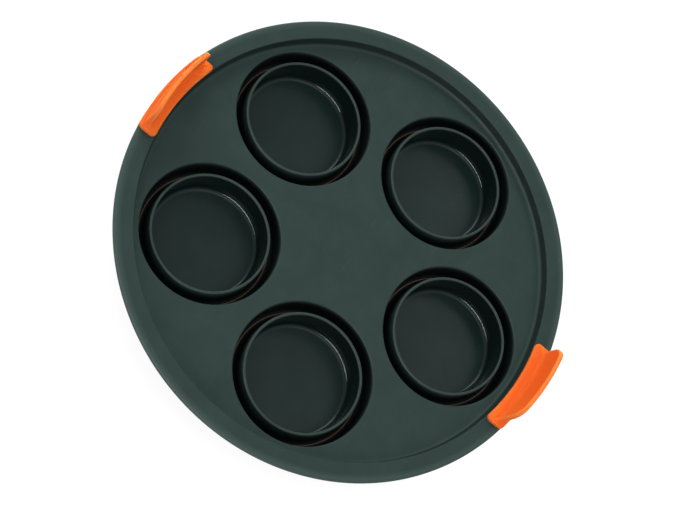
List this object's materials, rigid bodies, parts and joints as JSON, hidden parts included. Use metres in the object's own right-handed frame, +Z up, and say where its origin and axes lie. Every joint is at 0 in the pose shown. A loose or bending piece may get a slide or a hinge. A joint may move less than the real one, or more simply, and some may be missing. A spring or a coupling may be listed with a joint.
{
  "type": "muffin tray",
  "caption": "Round silicone muffin tray: sunken deck, wide stiffened rim, push-out cups standing in moats, and an orange pinch grip with a tall fin at each end.",
  "frame": {"origin": "on the table, under the middle of the tray", "axes": "+Z up, +X through one grip and the cup beside it, +Y across the tray"},
  "size_m": [0.3, 0.3, 0.057],
  "materials": {
    "tray_silicone": "matte",
    "grip_silicone": "satin",
    "hoop_steel": "drawn wire"
  },
  "bodies": {
    "tray": {"tray_deck": "tray_silicone", "rim_hoop": "hoop_steel", "grip_right": "grip_silicone", "grip_left": "grip_silicone"},
    "cup_1": {"cup_1": "tray_silicone"},
    "cup_2": {"cup_2": "tray_silicone"},
    "cup_3": {"cup_3": "tray_silicone"},
    "cup_4": {"cup_4": "tray_silicone"},
    "cup_5": {"cup_5": "tray_silicone"}
  },
  "joints": [
    {"name": "cup_1_push", "type": "slide", "parent": "tray", "child": "cup_1", "axis": [0, 0, 1], "range_m": [0, 0.01], "stiffness_N_per_m": 1500, "springref_m": -0.0005},
    {"name": "cup_2_push", "type": "slide", "parent": "tray", "child": "cup_2", "axis": [0, 0, 1], "range_m": [0, 0.01], "stiffness_N_per_m": 1500, "springref_m": -0.0005},
    {"name": "cup_3_push", "type": "slide", "parent": "tray", "child": "cup_3", "axis": [0, 0, 1], "range_m": [0, 0.01], "stiffness_N_per_m": 1500, "springref_m": -0.0005},
    {"name": "cup_4_push", "type": "slide", "parent": "tray", "child": "cup_4", "axis": [0, 0, 1], "range_m": [0, 0.01], "stiffness_N_per_m": 1500, "springref_m": -0.0005},
    {"name": "cup_5_push", "type": "slide", "parent": "tray", "child": "cup_5", "axis": [0, 0, 1], "range_m": [0, 0.01], "stiffness_N_per_m": 1500, "springref_m": -0.0005}
  ]
}
